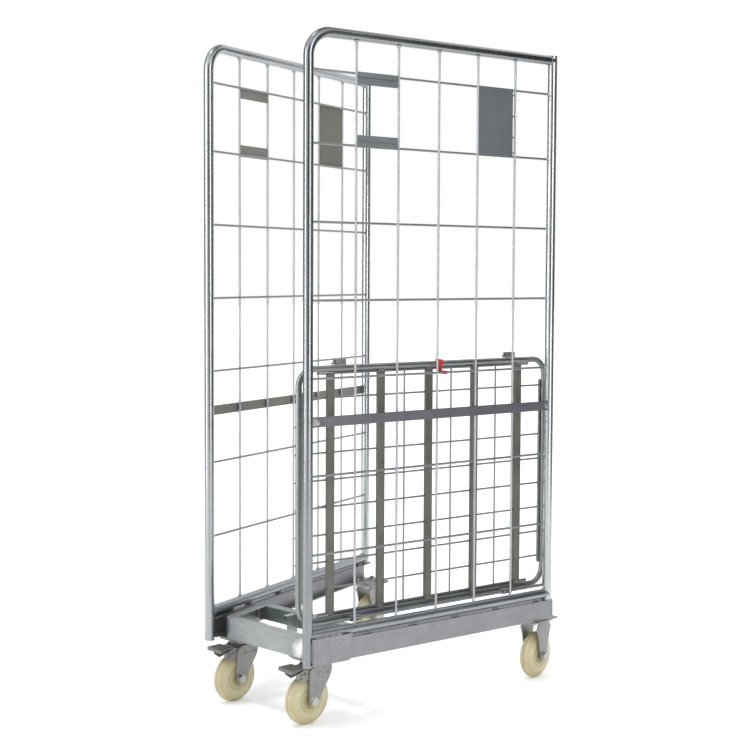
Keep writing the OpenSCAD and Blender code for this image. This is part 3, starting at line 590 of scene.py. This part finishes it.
def deck_welds():
    """Welds of the deck's wires, slats, stiffeners and hooks, all on the deck's own body."""
    axes = side_axes(1)
    top = DECK_Z0 + DECK_W
    w = Mesh("deck_welds", "deck", weld_bright, "deck_steel")
    for i in range(1, 9):
        z = DECK_Z0 + 0.005 + i * (DECK_W - 0.010) / 9
        for u in (DECK_U0, DECK_U0 + DECK_L):
            w.lump(side(1, DECK_X - 0.009, u, z), (0.0030, 0.0065, 0.0036), i, axes)
        for k in range(5):
            for e in (-1, 1):
                at = side(1, DECK_X - 0.0085, DECK_MID + (k - 2) * SLAT_PITCH + e * 0.007, z)
                w.lump(at, (0.0016, 0.0030, 0.0034), i * 5 + k, axes)
        for k in range(4):
            at = side(1, DECK_X - 0.0082, DECK_MID + (k - 1.5) * SLAT_PITCH, z)
            w.lump(at, (0.0018, 0.0032, 0.0032), i * 7 + k, axes)
    for k in range(5):
        u = DECK_MID + (k - 2) * SLAT_PITCH
        for z in (DECK_Z0 + 0.010, top - 0.010):
            w.bead(side(1, DECK_X - 0.001, u - 0.010, z), side(1, DECK_X - 0.001, u + 0.010, z), 0.0026, k)
    for z, e in ((DECK_Z0, 1), (top, -1)):
        for u, f in ((DECK_U0 + 0.056, 1), (DECK_U0 + DECK_L - 0.056, -1)):
            zb = z + e * 0.0085
            w.bead(side(1, DECK_X, u, zb), side(1, DECK_X, u + f * 0.030, zb), 0.0028, 6)
    for u in (DECK_U0 + 0.122, DECK_U0 + DECK_L - 0.122):
        for x in (DECK_X - 0.0035, DECK_X + 0.0035):
            w.bead(side(1, x, u - 0.014, top + 0.0078), side(1, x, u + 0.014, top + 0.0078), 0.0022, 8)
    w.done()


def caster_rivets(s, sn):
    """Rivet heads of the brake housing and of the fork, which ride on the swivel."""
    turned = Matrix.Rotation(TOES[s], 3, "Z")
    c = Mesh(f"{sn}_caster_rivets", f"{sn}_swivel", weld_dark, "caster_steel")
    for e in (-1, 1):
        for y, z in ((-0.068, 0.132), (-0.070, 0.123), (-0.058, 0.134)):
            c.lump(swivel(s, e * 0.0278, y, z), (0.0012, 0.0029, 0.0029), int(z * 1000), turned, 6, 12)
        c.lump(swivel(s, e * 0.0292, -0.020, 0.128), (0.0011, 0.0030, 0.0030), 4, turned, 6, 12)
        c.lump(swivel(s, e * 0.0292, 0.008, 0.128), (0.0011, 0.0030, 0.0030), 5, turned, 6, 12)
    c.done()


for s, sn in SIDES:
    A = side_axes(s)
    wire_welds(s, sn, A)
    tube_welds(s, sn, A)
    gusset_welds(s, sn, A)
    sheet_welds(s, sn, A)
ring_welds()
deck_welds()
for s, sn in SIDES:
    caster_rivets(s, sn)


# ---------- floor, light, camera ----------
def stage_mat(name, value, rough):
    m, nt, b = tree(name)
    col = (value,) * 3
    n = noise_tex(nt, coords(nt, (0, 0, 0), (1, 1, 1)), 2.0, 2.0)
    nt.links.new(ramp(nt, n, [(0.0, shade(col, 0.995)), (1.0, col)]), b.inputs["Base Color"])
    b.inputs["Roughness"].default_value = rough
    b.inputs["Specular IOR Level"].default_value = 0.1
    return m


def plane(name, size, loc, rot=(0, 0, 0)):
    me = bpy.data.meshes.new(name)
    x, y = size[0] / 2, size[1] / 2
    me.from_pydata([(-x, -y, 0), (x, -y, 0), (x, y, 0), (-x, y, 0)], [], [(0, 1, 2, 3)])
    o = bpy.data.objects.new(name, me)
    o.location, o.rotation_euler = loc, rot
    bpy.context.scene.collection.objects.link(o)
    return o


floor = plane("floor", (60, 60), (0, 0, 0))
floor.data.materials.append(stage_mat("floor_pale", 0.94, 0.9))
# The floor glows a little for the camera, so that only shadows near the wheels stay on the white.
FLOOR_GLOW = 0.13
glow = floor.data.materials[0].node_tree
seen = glow.nodes.new("ShaderNodeLightPath")
shader = glow.nodes["Principled BSDF"]
shader.inputs["Emission Color"].default_value = (1, 1, 1, 1)
strength = maths(glow, "MULTIPLY", seen.outputs["Is Camera Ray"], FLOOR_GLOW)
glow.links.new(strength, shader.inputs["Emission Strength"])

YAW, PITCH, ROLL = math.radians(42.397), math.radians(-3.116), math.radians(0.272)


def heading(a, dist, z):
    """A point at compass angle a to the right of the camera's heading, as seen from the object."""
    h = YAW - math.radians(a)
    return Vector((-math.sin(h) * dist, math.cos(h) * dist, z))


def look_at(o, target):
    o.rotation_euler = (Vector(target) - o.location).to_track_quat("-Z", "Y").to_euler()


def reflection_only(o, name, value):
    """Makes a plane a card that only reflections see; it keeps the tubes' edges crisp on a white floor."""
    o.data.materials.append(stage_mat(name, value, 1.0))
    o.visible_camera = o.visible_diffuse = o.visible_shadow = o.visible_transmission = False


# Cards round the object: name, compass angle, distance, width, value.
CARDS = (("card_right", 92, 3.4, 3.8, 0.03), ("card_left", -48, 3.4, 2.4, 0.03),
         ("card_behind", 178, 4.6, 3.2, 0.03), ("card_far_left", -88, 4.2, 1.6, 0.10))
CARD_TALL, CARD_Z = 5.0, 1.8
for name, a, dist, wide, value in CARDS:
    o = plane(name, (wide, CARD_TALL), heading(a, dist, CARD_Z))
    look_at(o, (0, 0, CARD_Z))
    reflection_only(o, name, value)
reflection_only(plane("card_top", (3.4, 3.4), (0, 0, 4.2), (math.pi, 0, 0)), "card_top", 0.26)


def strip_light(name, a, dist, wide, power):
    """A tall strip lamp that only glossy surfaces see, for the bright stripe along each tube."""
    d = bpy.data.lights.new(name, "AREA")
    d.shape, d.size, d.size_y = "RECTANGLE", wide, 3.4
    d.energy = power
    o = bpy.data.objects.new(name, d)
    o.location = heading(a, dist, 1.7)
    look_at(o, (0, 0, 0.8))
    o.visible_diffuse = False
    bpy.context.scene.collection.objects.link(o)


strip_light("strip_left", -118, 3.6, 0.55, 48)
strip_light("strip_right", 144, 3.9, 0.40, 34)
sun = bpy.data.lights.new("sun", "SUN")
sun.energy, sun.angle = 0.85, math.radians(14)
sun_o = bpy.data.objects.new("sun", sun)
sun_o.location = heading(-112, 1.5, 6.0)
look_at(sun_o, (0, 0, 0))
bpy.context.scene.collection.objects.link(sun_o)

# The sky is plain white where the camera sees it, and has its own strength where it lights the object.
sky = bpy.data.worlds.new("studio")
sky.use_nodes = True
w = sky.node_tree
path = w.nodes.new("ShaderNodeLightPath")
pick = w.nodes.new("ShaderNodeMix")
pick.data_type = "RGBA"
pick.inputs[6].default_value = (1.14, 1.15, 1.16, 1)
pick.inputs[7].default_value = (1, 1, 1, 1)
w.links.new(path.outputs["Is Camera Ray"], pick.inputs[0])
w.links.new(pick.outputs[2], w.nodes["Background"].inputs["Color"])
bpy.context.scene.world = sky
bpy.context.scene.view_settings.view_transform = "Standard"

# The camera: its place in metres, its lens in millimetres and its shift in sensor widths.
CAMERA_AT = (2.4488, -2.6518, 1.1115)
SENSOR, LENS, LENS_SHIFT = 36, 64.6608, -0.04
cam_data = bpy.data.cameras.new("camera")
cam_data.sensor_width = SENSOR
cam_data.lens = LENS
cam_data.shift_y = LENS_SHIFT
cam_data.clip_end = 100
cam = bpy.data.objects.new("camera", cam_data)
bpy.context.scene.collection.objects.link(cam)
tilted = Matrix.Rotation(math.pi / 2 + PITCH, 4, "X")
turn = Matrix.Rotation(YAW, 4, "Z") @ tilted @ Matrix.Rotation(ROLL, 4, "Z")
cam.matrix_world = Matrix.Translation(CAMERA_AT) @ turn
bpy.context.scene.camera = cam
